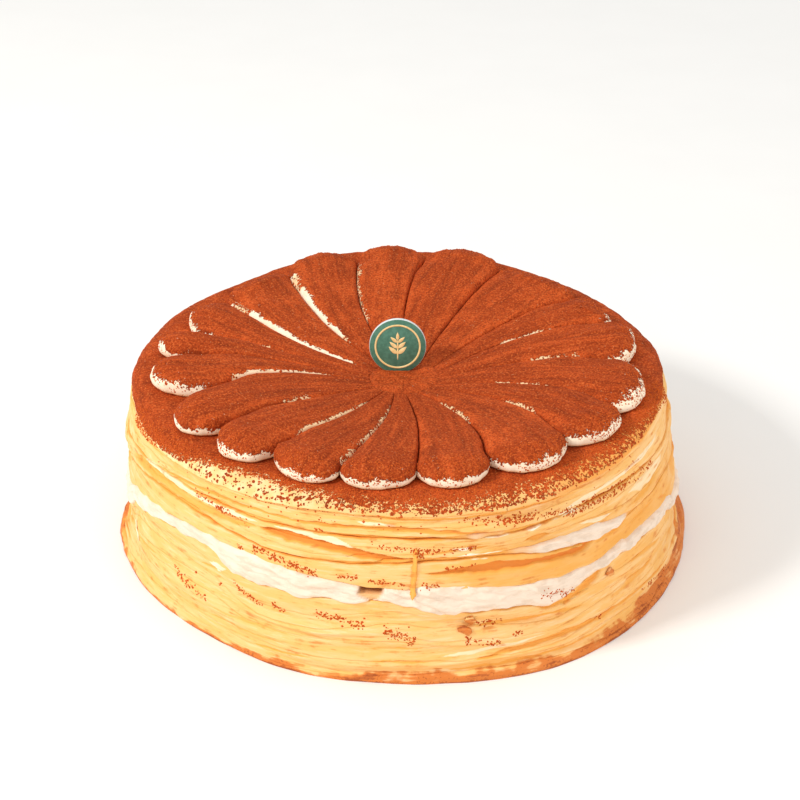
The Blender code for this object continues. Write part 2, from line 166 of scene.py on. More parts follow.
class Finish:
    """A surface and the nodes that it is put together from."""

    def __init__(self, name, roughness, gloss):
        self.material = bpy.data.materials.new(name)
        self.material.use_nodes = True
        self.tree = self.material.node_tree
        self.shader = self.tree.nodes["Principled BSDF"]
        self.shader.inputs["Roughness"].default_value = roughness
        self.shader.inputs["Specular IOR Level"].default_value = gloss

    def node(self, kind, sockets, **settings):
        node = self.tree.nodes.new(kind)
        for name, value in settings.items():
            setattr(node, name, value)
        for key, value in sockets.items():
            if isinstance(value, bpy.types.NodeSocket):
                self.tree.links.new(value, node.inputs[key])
            else:
                node.inputs[key].default_value = value
        return node

    def place(self, across=1.0, upwards=1.0):
        """Where a point is on the cake, in millimetres, stretched sideways or upwards."""
        spot = self.node("ShaderNodeTexCoord", {}).outputs["Object"]
        scale = (across / MM, across / MM, upwards / MM)
        return self.node("ShaderNodeMapping", {"Vector": spot, "Scale": scale}).outputs["Vector"]

    def noise(self, where, size, detail=3.0, rough=0.55):
        """A cloudy pattern from 0 to 1 whose patches are about so many millimetres across."""
        sockets = {"Vector": where, "Scale": 1 / size, "Detail": detail, "Roughness": rough}
        return self.node("ShaderNodeTexNoise", sockets).outputs["Fac"]

    def trait(self, name):
        """A value that the mesh carries from point to point."""
        return self.node("ShaderNodeAttribute", {}, attribute_name=name).outputs["Fac"]

    def step(self, value, low, high, start=0.0, end=1.0):
        sockets = {"Value": value, "From Min": low, "From Max": high, "To Min": start, "To Max": end}
        return self.node("ShaderNodeMapRange", sockets, interpolation_type="SMOOTHSTEP").outputs["Result"]

    def sum(self, first, second, operation="ADD"):
        return self.node("ShaderNodeMath", {0: first, 1: second}, operation=operation).outputs["Value"]

    def mix(self, share, first, second):
        """The first colour where share is 0 and the second where it is 1."""
        first, second = (seen_colour(*c) if isinstance(c, tuple) else c for c in (first, second))
        sockets = {0: share, 6: first, 7: second}
        return self.node("ShaderNodeMix", sockets, data_type="RGBA").outputs[2]

    def bump(self, height, depth, under=None):
        """Relief of so many millimetres between the pattern's 0 and 1."""
        sockets = {"Height": height, "Distance": depth * MM, "Strength": 1.0}
        if under:
            sockets["Normal"] = under
        return self.node("ShaderNodeBump", sockets).outputs["Normal"]

    def done(self, colour, normal, roughness=None):
        self.tree.links.new(colour, self.shader.inputs["Base Color"])
        self.tree.links.new(normal, self.shader.inputs["Normal"])
        if roughness:
            self.tree.links.new(roughness, self.shader.inputs["Roughness"])
        return self.material


def crepe_finish():
    """Pale crepe with golden strokes along the wall, deeper golden in its folds, partly as painted shade, and browned
    at the foot.
    """
    finish = Finish("crepe", 0.6, 0.25)
    strokes = finish.noise(finish.place(1.0, 5.0), 19, 4)
    streaks = finish.noise(finish.place(1.0, 11.0), 13, 5, 0.6)
    mottle = finish.noise(finish.place(), 4.5, 4)
    fine = finish.noise(finish.place(), 0.9, 3)
    colour = finish.mix(finish.step(strokes, 0.42, 0.56), CREPE_PALE, CREPE_LIGHT)
    colour = finish.mix(finish.step(streaks, 0.54, 0.66, 0, 0.4), colour, CREPE_GOLDEN)
    colour = finish.mix(finish.step(streaks, 0.46, 0.36, 0, 0.3), colour, CREPE_WHITE)
    # The tone turns the crepe golden; on the right side of the wall this is painted shade.
    tone_and_shading = finish.sum(finish.trait("tone_and_shading"), finish.step(strokes, 0.35, 0.65, -0.15, 0.15))
    colour = finish.mix(finish.step(tone_and_shading, 0.0, 1.0), colour, CREPE_GOLDEN)
    # The fold trait is golden inside each layer and along the lines between layers, deep golden in the deepest
    # creases: partly the crepe's own golden side, partly painted shade in these creases. Below 0 it marks a pale
    # shred.
    fold_and_shade = finish.sum(finish.trait("fold_and_shade"), finish.step(streaks, 0.35, 0.65, -0.08, 0.08))
    colour = finish.mix(finish.step(fold_and_shade, 0.12, 0.55), colour, CREPE_GOLDEN)
    colour = finish.mix(finish.step(fold_and_shade, 0.6, 1.0), colour, CREPE_CREASE_SHADE)
    colour = finish.mix(finish.step(fold_and_shade, -0.12, -0.6), colour, CREPE_WHITE)
    colour = finish.mix(finish.step(fold_and_shade, -0.8, -1.0), colour, SHRED_WHITE)
    browning = finish.sum(finish.trait("browned"), finish.step(mottle, 0.3, 0.7, -0.25, 0.25))
    browning = finish.sum(browning, finish.step(streaks, 0.35, 0.65, -0.35, 0.35))
    colour = finish.mix(finish.step(browning, 0.2, 0.8), colour, CREPE_BROWNED_AND_SHADE)
    spots = finish.sum(browning, finish.step(fine, 0.5, 0.64, -0.7, 0.0))
    colour = finish.mix(finish.step(spots, 0.75, 1.1, 0, 0.65), colour, CREPE_BURNT)
    burnt_strokes = finish.sum(browning, finish.step(streaks, 0.55, 0.66, -0.8, 0.0))
    colour = finish.mix(finish.step(burnt_strokes, 0.55, 1.0, 0, 0.6), colour, CREPE_BURNT)
    relief = finish.bump(streaks, 0.14)
    relief = finish.bump(fine, 0.08, relief)
    return finish.done(colour, relief, finish.step(mottle, 0.3, 0.7, 0.5, 0.68))


class Rim:
    """A layer's rim as the frame has it, at equal steps round the cake, and its height in the middle."""

    def __init__(self, node):
        around, middle = {}, []
        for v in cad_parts[node].data.vertices:
            radius, height = v.co.xy.length / MM, v.co.z / MM
            if radius < RIM_STARTS:
                middle.append(height)
                continue
            turn = round(math.degrees(math.atan2(v.co.y, v.co.x)), 1) % 360
            around.setdefault(turn, []).append((height, radius))
        columns = [around[turn] for turn in sorted(around)]
        self.low = [min(column)[0] for column in columns]
        self.high = [max(column)[0] for column in columns]
        self.reach = [max(radius for _, radius in column) for column in columns]
        self.middle = min(middle), max(middle)


def read_round(samples, turn):
    """Reads a smooth closed curve through equal steps round the cake, which start at +X."""
    place = turn % 360 / 360 * len(samples)
    step = int(place)
    a, b, c, d = (samples[(step + k) % len(samples)] for k in (-1, 0, 1, 2))
    s = place - step
    return b + 0.5 * s * (c - a + s * (2 * a - 5 * b + 4 * c - d + s * (3 * (b - c) + d - a)))


def round_the_cake(rows, turn, column):
    """Reads one column of a table of (turn, ...) rows, easing from row to row and back to the first."""
    turn = (turn - rows[0][0]) % 360 + rows[0][0]
    for before, after in zip(rows, (*rows[1:], (rows[0][0] + 360, *rows[0][1:]))):
        if turn <= after[0]:
            share = eased((turn - before[0]) / (after[0] - before[0]))
            return before[column] + (after[column] - before[column]) * share
    raise ValueError(turn)


def wobble(seed, turn, *waves):
    """An uneven line round the cake that meets its own start: each wave is (its length, its size) in mm."""
    x, y = 110 * math.cos(math.radians(turn)), 110 * math.sin(math.radians(turn))
    return sum(size * 2 * noise.noise(Vector((x / length, y / length, seed * 7.3))) for length, size in waves)


def edge_line(level, turn):
    """How far the line between two layers strays from its smooth course. Both layers follow it."""
    if level == 0:
        return 0.0
    torn = 0.4 if STACK.index("cream_main") in (level, level - 1) else 0.0
    return wobble(level + 0.5, turn, (34, 0.35), (11, 0.28), (3.5, 0.12), (7, torn))


def at_the_front(turn):
    return ramp(turn, 190, 204) * ramp(turn, 352, 336)


def openness(level, turn):
    """How far the two layers at a line part from each other at the rim, from 0, stuck together, to 1."""
    loose = eased(0.45 + wobble(level + 60.5, turn, (42, 0.45), (15, 0.3)))
    return loose + (0.06 - loose) * at_the_front(turn)


def partings_at(turn):
    """The partings that cross this turn: (height, half of how wide it is open, depth, how golden)."""
    found = []
    for number, (depth, golden, course) in enumerate(PARTINGS):
        for (start, low, narrow), (end, high, wide) in zip(course, course[1:]):
            if start <= turn < end:
                share = (turn - start) / (end - start)
                height = low + (high - low) * share + wobble(number + 80.5, turn, (8, 0.25), (2.5, 0.12))
                half = (narrow + (wide - narrow) * eased(share)) / 2 * (1 + wobble(number + 90.5, turn, (4, 0.25)))
                found.append((height, half, depth, golden))
    return found


def parting_depth(partings, height):
    """How deep the wall is parted at a height, and how golden, the gold partly painted shade in the gap: steep above,
    gentle below.
    """
    depth, gold = 0.0, 0.0
    for middle, half, deepest, golden in partings:
        away = abs(height - middle) - half
        soft = 0.18 if height > middle else 0.18 + 0.3 * half
        inside = ramp(away, soft, -0.12) * min(1.0, half / 0.25)
        depth += deepest * inside * min(1.0, 0.4 + half / 1.5)
        gold = golden * inside if abs(golden * inside) > abs(gold) else gold
    return depth, gold


def skin(columns, rows, traits, place):
    """A closed skin from a grid of squares. place gives each corner's point and its traits' values."""
    bm = bmesh.new()
    layers = [bm.verts.layers.float.new(trait) for trait in traits]
    bmesh.ops.create_grid(bm, x_segments=columns, y_segments=rows, size=0.5)
    for v in bm.verts:
        v.co, values = place(round((v.co.x + 0.5) * columns) % columns, round((v.co.y + 0.5) * rows))
        for layer, value in zip(layers, values):
            v[layer] = value
    bmesh.ops.remove_doubles(bm, verts=bm.verts, dist=SEAM)
    bmesh.ops.recalc_face_normals(bm, faces=bm.faces)
    return bm


def polar(radius, turn, height=0.0):
    return Vector((radius * math.cos(math.radians(turn)), radius * math.sin(math.radians(turn)), height))


def layer_outline(rows, rounding, end_share):
    """A flat layer's outline from its middle round its edge: (inset from the rim, share of the height)."""
    outline = [(inset, 0.0) for inset in PLATE_INSETS]
    for row in range(rows + 1):
        share = row / rows
        end = max(0.0, abs(2 * share - 1) - 1 + end_share) / end_share
        outline.append((rounding * end * end, share))
    return outline + [(inset, 1.0) for inset in reversed(PLATE_INSETS)]


def in_the_layer(rim, low, high, radius, reach, share):
    """The height at a share between a layer's two sides, which run straight from the middle to the rim."""
    out = min(1.0, radius / reach)
    floor = rim.middle[0] + (low - rim.middle[0]) * out
    roof = rim.middle[1] + (high - rim.middle[1]) * out
    return floor + (roof - floor) * share


def add_piece(name, bm, material, slot, *nodes):
    """Makes an object from a mesh worked out in millimetres, which stands for these nodes."""
    bmesh.ops.scale(bm, vec=(MM, MM, MM), verts=bm.verts)
    mesh = bpy.data.meshes.new(name)
    bm.to_mesh(mesh)
    bm.free()
    mesh.materials.append(material)
    mesh.shade_smooth()
    piece = bpy.data.objects.new(name, mesh)
    bpy.context.scene.collection.objects.link(piece)
    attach(piece, "root")
    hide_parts(*nodes)
    return piece


def wall_course(turn):
    """The wall as one surface: the height and the reach of each crepe's edge, from the lowest up."""
    course = []
    for node, rim in crepe_rims.items():
        course.append(((read_round(rim.low, turn) + read_round(rim.high, turn)) / 2, read_round(rim.reach, turn)))
    return course


def wall_reach_at(course, height):
    """How far out that surface stands at a height."""
    for (low, first), (high, last) in zip(course, course[1:]):
        if height < high:
            return first + (last - first) * min(max((height - low) / (high - low), 0.0), 1.0)
    return course[-1][1]


def add_crepe(level, material):
    """One crepe, draped between the lines under and over it: pale torn strips over a golden inside, its gold partly
    painted shade.
    """
    node = STACK[level]
    rim = Rim(node)
    thickness = sum(rim.high) / len(rim.high) - sum(rim.low) / len(rim.low)
    outline = layer_outline(max(11, round(thickness / ROW_HEIGHT)), 0.9, 0.16)
    columns = []
    for step in range(WALL_STEPS):
        turn = 360 * step / WALL_STEPS
        low = read_round(rim.low, turn) + edge_line(level, turn) - (STICKING if level else 0.0)
        high = read_round(rim.high, turn) + edge_line(level + 1, turn) + STICKING
        reach = read_round(rim.reach, turn) + wobble(level + 0.2, turn, (26, 0.45), (7, 0.25), (2.6, 0.1))
        strip = 0.76 + wobble(level + 0.7, turn, (38, 0.34), (9, 0.12), (2.4, 0.07))
        notch = max(0.1, 0.55 + wobble(level + 0.9, turn, (30, 0.45), (6, 0.15)))
        parted = openness(level, turn), openness(level + 1, turn)
        golden = GOLDEN_CREPES.get(node, 0.0) * ramp(turn, 262, 286) * ramp(turn, 352, 336)
        browned = round_the_cake(BROWNED_UP_TO, turn, 1) + wobble(3.3, turn, (24, 1.0), (7, 0.8), (2.5, 0.4))
        columns.append((turn, low, high, reach, strip, notch, parted, golden, browned, partings_at(turn), walls[step]))

    def place(column, row):
        turn, low, high, reach, strip, notch, parted, golden, browned, partings, wall = columns[column]
        inset, share = outline[row]
        opened = parted[0] + (parted[1] - parted[0]) * share
        if inset < PLATE_INSETS[-1]:
            inset *= 0.05 + 1.15 * opened
        common = wall_reach_at(wall, low + (high - low) * share)
        edge = common + (reach - common) * min(1.0, 1.4 * opened)
        behind = ramp(share, strip - 0.06, strip + 0.10) * ramp(opened, 0.05, 0.45)
        x, y = edge * math.cos(math.radians(turn)), edge * math.sin(math.radians(turn))
        ripple = 0.3 * noise.noise(Vector((x / 9, y / 9, (level + share) * 3.1)))
        outward = ripple - notch * behind + 0.3 * (0.5 - share) * opened
        radius = max(0.0, edge - inset + outward * ramp(inset, 6.0, 0.5))
        height = in_the_layer(rim, low, high, radius, edge, share)
        depth, gold = parting_depth(partings, height)
        radius = max(0.0, radius - depth * ramp(inset, 3.0, 1.0))
        line = ramp(min(share, 1 - share) * (high - low), 0.5, 0.1)
        # Golden behind the strips, inside the layer and along its lines: partly painted shade in the creases.
        fold_and_shade = max(behind * (0.25 + 0.75 * opened), ramp(inset, 0.15, 1.3), (0.15 + opened) * line)
        fold_and_shade = gold if abs(gold) > fold_and_shade else fold_and_shade
        # The tone is golden on the right side of the wall below its top: painted shade on the side away from the lamp.
        # It is golden too on the golden crepes and on the left front.
        tone_and_shading = 0.25 * ramp(turn, 272, 318) * ramp(turn, 358, 340) * ramp(height, 62, 46)
        tone_and_shading += golden * ramp(share, 0.0, 0.12)
        tone_and_shading += 0.2 * ramp(turn, 246, 205) * ramp(turn, 165, 185)
        brown = ramp(height, browned + 1.2, browned - 1.8) + 0.55 * ramp(height, 1.5, 0.3)
        return polar(radius, turn, height), (fold_and_shade, brown, tone_and_shading)

    bm = skin(WALL_STEPS, len(outline) - 1, ("fold_and_shade", "browned", "tone_and_shading"), place)
    return add_piece(f"draped_{node}", bm, material, "browned_crepe" if level == 0 else "crepe", node)


crepe = crepe_finish()
crepe_rims = {node: Rim(node) for node in STACK if node.startswith("crepe_")}
walls = [wall_course(360 * step / WALL_STEPS) for step in range(WALL_STEPS)]
wall_pieces = [
    add_crepe(level, crepe)
    for level, node in enumerate(STACK)
    if node.startswith("crepe_") and node != "crepe_top"
]


# --- The whipped cream in the wall -----------------------------------------------------------------------
# Lightly sweetened whipped cream, spread with a palette knife. The thick layer is pressed out unevenly and
# smeared over the crepes beside it; the two thin ones mostly lie back in the wall, golden there: partly the
# crepes' colour, partly painted shade in the crevice.

CREAM_WHITE = (243, 221, 200)
CREAM_SHADE = (230, 206, 183)
CREAM_STAIN_AND_SHADE = (240, 170, 76)
HOLLOW_TURN = 265.0  # a gap under the wide crepe where the cream doesn't reach
HOLLOW_DEPTH = 4.5
HOLLOW_FOOT = 33.5  # it tapers down to here
HOLLOW_DARK = 37.3  # and is dark with shadow from here up
HOLLOW_SHADOW_BROWN = (132, 72, 30)
CREAM_PIECES = {"cream_main": (1.0, 30), "cream_upper": (0.5, 14), "cream_top": (0.2, 8)}  # smear, rows


def cream_finish():
    finish = Finish("whipped_cream", 0.45, 0.35)
    knife = finish.noise(finish.place(1.0, 3.0), 8, 4)
    soft = finish.noise(finish.place(), 3.0, 3)
    colour = finish.mix(finish.step(knife, 0.46, 0.60, 0, 0.9), CREAM_WHITE, CREAM_SHADE)
    # Golden where the cream is thin or sits in the hollow, partly painted shade; the top of the hollow is painted
    # shadow.
    colour = finish.mix(finish.trait("stain_and_shade"), colour, CREAM_STAIN_AND_SHADE)
    colour = finish.mix(finish.trait("shadow"), colour, HOLLOW_SHADOW_BROWN)
    relief = finish.bump(knife, 0.8)
    return finish.done(colour, finish.bump(soft, 0.2, relief))


def add_cream(level, material):
    """A layer of cream that swells out where it is thick and hides in the wall where it is thin."""
    node = STACK[level]
    smear, rows = CREAM_PIECES[node]
    rim = Rim(node)
    outline = layer_outline(rows, 1.5, 0.45)
    columns = []
    for step in range(WALL_STEPS):
        turn = 360 * step / WALL_STEPS
        low = read_round(rim.low, turn) + edge_line(level, turn) - STICKING
        high = read_round(rim.high, turn) + edge_line(level + 1, turn) + STICKING
        thick = ramp(high - low, 1.7, 3.4)
        low -= smear * thick * max(0.0, 0.35 + wobble(level + 0.3, turn, (9, 0.8), (3, 0.4)))
        high += smear * thick * max(0.0, 0.35 + wobble(level + 0.4, turn, (11, 0.8), (3, 0.3)))
        common = wall_reach_at(walls[step], (low + high) / 2)
        reach = common - 0.9 + 1.9 * thick + wobble(level + 0.1, turn, (14, 0.45), (5, 0.2))
        columns.append((turn, low, high, reach, thick))

    def place(column, row):
        turn, low, high, reach, thick = columns[column]
        inset, share = outline[row]
        run = math.radians(turn) * 110
        slant = share * (high - low) + 0.22 * run
        knife = 1.0 * noise.noise(Vector((run / 16, slant / 2.0, level)))
        knife += 0.35 * noise.noise(Vector((run / 4, slant / 1.1, level + 5)))
        radius = max(0.0, reach - inset + knife * thick * ramp(inset, 6.0, 0.5))
        height = in_the_layer(rim, low, high, radius, reach, share)
        hollow, shadow = 0.0, 0.0
        if node == "cream_main":
            half = 1.9 * ramp(height, HOLLOW_FOOT, HOLLOW_DARK) + 0.15
            away = abs(turn - HOLLOW_TURN + 0.4 * noise.noise(Vector((height / 2, 3, 1))))
            hollow = ramp(away, half + 0.35, half - 0.25) * ramp(height, HOLLOW_FOOT - 0.5, HOLLOW_FOOT + 0.5)
            shadow = hollow * ramp(height, HOLLOW_DARK - 0.7, HOLLOW_DARK + 0.5)
        dip = hollow * (1.0 + (HOLLOW_DEPTH - 1.0) * shadow)
        # Golden where the cream is thin or in the hollow: painted shade of the recess, partly the crepes' colour.
        stain_and_shade = max(1 - thick, 0.7 * hollow)
        return polar(max(0.0, radius - dip), turn, height), (stain_and_shade, shadow)

    bm = skin(WALL_STEPS, len(outline) - 1, ("stain_and_shade", "shadow"), place)
    return add_piece(f"whipped_{node}", bm, material, "cream", node)


cream = cream_finish()
wall_pieces += [add_cream(STACK.index(node), cream) for node in CREAM_PIECES]


# --- The torn crepe edges --------------------------------------------------------------------------------
# Scraps torn from the crepes' edges that stick to the wall: a strip that hangs down over the cream at the
# front, and a pale and some browned shreds. Each is one thin flake.

SCRAPS = {  # turn and height of its start and end, half width there, how golden, how browned
    "hanging_strip": (273.2, 54.6, 272.4, 35.6, 0.8, 1.0, 0.75, 0.0),
    "left_lip": (202.2, 22.4, 204.6, 15.4, 0.4, 1.0, -0.9, 0.0),
    "browned_scrap_1": (282.4, 26.6, 283.6, 23.4, 1.1, 1.3, 0.2, 0.8),
    "browned_scrap_2": (280.6, 21.8, 283.2, 19.8, 0.8, 1.3, 0.2, 0.8),
    "browned_scrap_3": (312.6, 27.2, 314.0, 24.2, 1.3, 1.3, 0.2, 0.8),
}
SCRAP_THICKNESS = 0.4


def surface_of(pieces):
    """All these pieces as one surface that something can land on."""
    points, faces = [], []
    for piece in pieces:
        start = len(points)
        points += [v.co.copy() for v in piece.data.vertices]
        faces += [[start + index for index in face.vertices] for face in piece.data.polygons]
    return BVHTree.FromPolygons(points, faces)


def landing(surface, start, towards):
    """Where a thing thrown from start lands, and which way the surface faces there, in millimetres."""
    spot, facing, _, _ = surface.ray_cast(start * MM, towards.normalized())
    return (spot / MM, facing) if spot else None


def wall_reach(surface, turn, height):
    """How far out the wall stands here, over the little dips between its layers."""
    heights = [height + step * 0.7 for step in (-3, -2, -1, 0, 1, 2, 3)]
    found = [landing(surface, polar(140, turn, h), -polar(1, turn)) for h in heights]
    reaches = sorted(spot.xy.length for spot, _ in filter(None, found))
    return sum(reaches[-3:]) / 3


def add_scrap(name, surface, material):
    first_turn, first_height, last_turn, last_height, first_half, last_half, golden, browned = SCRAPS[name]
    run = Vector((math.radians(last_turn - first_turn) * 107, last_height - first_height))
    along_steps, across_steps = max(8, round(run.length / 0.5)), 8
    side = Vector((-run.y, run.x)).normalized()
    bm = bmesh.new()
    traits = [bm.verts.layers.float.new(trait) for trait in ("fold_and_shade", "browned", "tone_and_shading")]
    bmesh.ops.create_grid(bm, x_segments=along_steps, y_segments=across_steps, size=0.5)
    for v in bm.verts:
        share, across = v.co.x + 0.5, 2 * v.co.y
        half = (first_half + (last_half - first_half) * share) * min(1.0, 8 * (1.02 - share), 8 * (share + 0.02))
        fray = 1 + 0.7 * noise.noise(Vector((share * run.length / 1.6, 3 * across, first_turn)))
        offset = side * across * half * fray
        turn = first_turn + (last_turn - first_turn) * share + math.degrees(offset.x / 107)
        height = first_height + run.y * share + offset.y
        curl = 0.25 * (1 - across * across) + 0.25 * noise.noise(Vector((share * run.length / 4, across, 2.0)))
        v.co = polar(wall_reach(surface, turn, height) + 0.15 + curl, turn, height)
        for trait, value in zip(traits, (golden * (0.7 + 0.3 * abs(across)), browned, 0.2)):
            v[trait] = value
    bmesh.ops.recalc_face_normals(bm, faces=bm.faces)
    bmesh.ops.solidify(bm, geom=bm.faces, thickness=SCRAP_THICKNESS)
    bmesh.ops.recalc_face_normals(bm, faces=bm.faces)
    return add_piece(name, bm, material, "crepe")


bare_wall = surface_of(wall_pieces)
wall_pieces += [add_scrap(name, bare_wall, crepe) for name in SCRAPS]


# --- The top crepe ---------------------------------------------------------------------------------------
# The last crepe lies like a shallow dish over the stack and rolls down over its shoulder. Sifted cocoa
# covers it near the flower and at the back, and thins out to single specks towards the front edge.

DISH_HEIGHT = 64.0
DISH_RIM_HEIGHT = 70.7
DISH_RIM_RADIUS = 97.0
HEM = 1.4  # the roll starts this far in from the wall's furthest reach
TOP_ROUNDNESS = (  # turn, how much further out the rim of the top is
    (0, -4.0),
    (25, -6.5),
    (48, -6.0),
    (80, -0.5),
    (102, -0.5),
    (135, -6.0),
    (158, -5.0),
    (188, -0.5),
    (222, 0.0),
    (330, 0.0),
)
COCOA_REACH = (  # turn, full cover up to this radius, thin from this radius on, how much is still there
    (165, 112.0, 114.0, 1.0),
    (205, 106.0, 110.0, 0.9),
    (222, 102.0, 107.0, 0.5),
    (232, 97.5, 103.5, 0.36),
    (241, 95.5, 101.8, 0.34),
    (250, 96.5, 103.5, 0.44),
    (265, 97.8, 107.0, 0.58),
    (280, 98.0, 107.5, 0.60),
    (295, 97.2, 107.0, 0.56),
    (308, 96.0, 105.5, 0.56),
    (325, 96.0, 104.0, 0.58),
    (340, 97.5, 106.0, 0.68),
    (355, 107.0, 112.0, 1.0),
)
COCOA = (170, 68, 27)
COCOA_BRIGHT = (204, 87, 37)
COCOA_LIGHT = (220, 116, 58)
COCOA_DARK = (118, 44, 18)
SPECK_SPACING = 1.0
SHOULDER_PALE = (249, 215, 160)
SHOULDER_SHADED_GOLDEN = (245, 168, 88)


def cocoa_over(finish, below, cover, tone_and_shading, where, streaks):
    """Lays cocoa over a colour where cover is high, with a frayed edge of grains. Returns colour and relief."""
    grains = finish.noise(where, 0.75, 2, 0.6)
    clumps = finish.noise(where, 2.4, 3)
    patches = finish.noise(where, 12, 4, 0.65)
    # High tone makes the cocoa bright and low tone dark: painted light and shade where the tone is set by side.
    lit = finish.sum(tone_and_shading, finish.step(patches, 0.4, 0.6, -0.3, 0.3))
    dust = finish.mix(finish.step(lit, 0.1, 0.9), COCOA, COCOA_BRIGHT)
    dust = finish.mix(finish.step(streaks, 0.52, 0.66, 0, 0.75), dust, COCOA_BRIGHT)
    dust = finish.mix(finish.step(streaks, 0.47, 0.36, 0, 0.45), dust, COCOA_DARK)
    dust = finish.mix(finish.step(clumps, 0.52, 0.66, 0, 0.5), dust, COCOA)
    dust = finish.mix(finish.step(grains, 0.52, 0.62, 0, 0.6), dust, COCOA_DARK)
    dust = finish.mix(finish.step(grains, 0.45, 0.34, 0, 0.6), dust, COCOA_LIGHT)
    speck = {"Vector": where, "Scale": 1 / SPECK_SPACING, "Randomness": 1.0}
    dots = finish.node("ShaderNodeTexVoronoi", speck).outputs
    luck = finish.node("ShaderNodeSeparateColor", {"Color": dots["Color"]}).outputs["Red"]
    size = finish.step(finish.sum(cover, luck), 0.85, 1.45, 0.0, 0.95)
    size = finish.sum(size, finish.step(grains, 0.35, 0.65, -0.12, 0.12))
    dot = finish.step(finish.sum(size, dots["Distance"], "SUBTRACT"), -0.04, 0.04)
    sheet = finish.sum(cover, finish.step(clumps, 0.35, 0.65, -0.12, 0.12))
    sheet = finish.step(finish.sum(sheet, finish.step(grains, 0.35, 0.65, -0.2, 0.2)), 0.61, 0.73)
    edge = finish.sum(dot, sheet, "MAXIMUM")
    colour = finish.mix(edge, below, dust)
    height = finish.sum(finish.sum(grains, edge, "MULTIPLY"), edge)
    return colour, height


def dusted_crepe_finish():
    finish = Finish("dusted_crepe", 0.85, 0.08)
    where = finish.place()
    mottle = finish.noise(where, 5, 4)
    streaks = finish.noise(finish.place(1.0, 9.0), 9, 4)
    below = finish.mix(finish.step(mottle, 0.35, 0.65), SHOULDER_PALE, CREPE_PALE)
    # Golden on the underside of the roll and brown at its lowest edge: painted shade under the overhang, partly the
    # crepe's golden side.
    below = finish.mix(finish.step(finish.trait("fold_and_shade"), 0.2, 0.8), below, CREPE_GOLDEN)
    # The tone paints the right of the shoulder golden, as shade.
    below = finish.mix(finish.trait("tone_and_shading"), below, SHOULDER_SHADED_GOLDEN)
    below = finish.mix(finish.step(finish.trait("fold_and_shade"), 0.85, 1.0), below, CREPE_BROWNED_AND_SHADE)
    colour, height = cocoa_over(finish, below, finish.trait("cover"), finish.trait("tone_and_shading"), where, streaks)
    return finish.done(colour, finish.bump(height, 0.35))


def dish(radius):
    """The height of the top crepe's upper side."""
    return DISH_HEIGHT + (DISH_RIM_HEIGHT - DISH_HEIGHT) * radius / DISH_RIM_RADIUS


def add_top_crepe(material):
    level = len(STACK) - 1
    rim = crepe_rims["crepe_top"]
    outline = [(inset, 0.0) for inset in PLATE_INSETS]
    outline += [(0.0, share) for share in (0.0, 0.12, 0.24, 0.36, 0.48, 0.60, 0.70, 0.79, 0.87, 0.94)]
    outline += [(1.1 * step, 1.0) for step in range(20)]
    outline += [(inset, 1.0) for inset in (27.0, 37.0, 52.0, 72.0, 200.0)]
    columns = []
    for step in range(WALL_STEPS):
        turn = 360 * step / WALL_STEPS
        low = read_round(rim.low, turn) + edge_line(level, turn) - 0.3
        reach = read_round(rim.reach, turn) + wobble(40.2, turn, (30, 0.4), (8, 0.25), (2.5, 0.1))
        flat = DISH_RIM_RADIUS + round_the_cake(TOP_ROUNDNESS, turn, 1)
        cocoa = [round_the_cake(COCOA_REACH, turn, column) for column in (1, 2, 3)]
        columns.append((turn, low, reach, flat, cocoa))

    def place(column, row):
        turn, low, reach, flat, (full, thin, left) = columns[column]
        inset, share = outline[row]
        if share == 0.0:
            radius = max(0.0, reach - 0.6 - inset)
            height = rim.middle[0] + (low - rim.middle[0]) * radius / reach
            return polar(radius, turn, height), (0.0, 1.0, 0.0)
        width = reach - flat - HEM
        roll = 0.5 * math.pi * min(1.0, 0.45 * share + 0.55 * inset / width)
        radius = max(0.0, reach - width * (1 - math.cos(roll)) - max(0.0, inset - width))
        height = low + (dish(min(radius, flat)) - low) * math.sin(roll)
        spot = polar(radius, turn, height)
        if share > 0.3:
            spot.z += 0.3 * noise.noise(Vector((spot.x / 7, spot.y / 7, 3.0))) + 0.2 * noise.noise(spot / 2.4)
        cover = (1 - (1 - left) * ramp(radius, full, thin)) * ramp(share, 0.1, 0.55)
        # Painted shading: from the front round to the right, the tone makes the shoulder's crepe golden as in shade
        # and its cocoa brighter against the weaker light there.
        tone_and_shading = max(0.5 * ramp(turn, 246, 268), ramp(turn, 284, 308)) * ramp(turn, 352, 340)
        tone_and_shading *= ramp(radius, flat - 4, flat + 2)
        # The fold trait is golden under the roll and brown at its lowest edge: painted shade under the overhang.
        return spot, (cover, ramp(share, 0.3, 0.0), tone_and_shading)

    bm = skin(WALL_STEPS, len(outline) - 1, ("cover", "fold_and_shade", "tone_and_shading"), place)
    return add_piece("dusted_crepe_top", bm, material, "cocoa", "crepe_top")


top_crepe = add_top_crepe(dusted_crepe_finish())


# --- The flower's petals ---------------------------------------------------------------------------------
# Eighteen petals of whipped cream, piped thick at the rim and drawn in towards the middle with a spoon. The
# cocoa sifted over them leaves their upright lips white, and the cream shows in some of the creases.

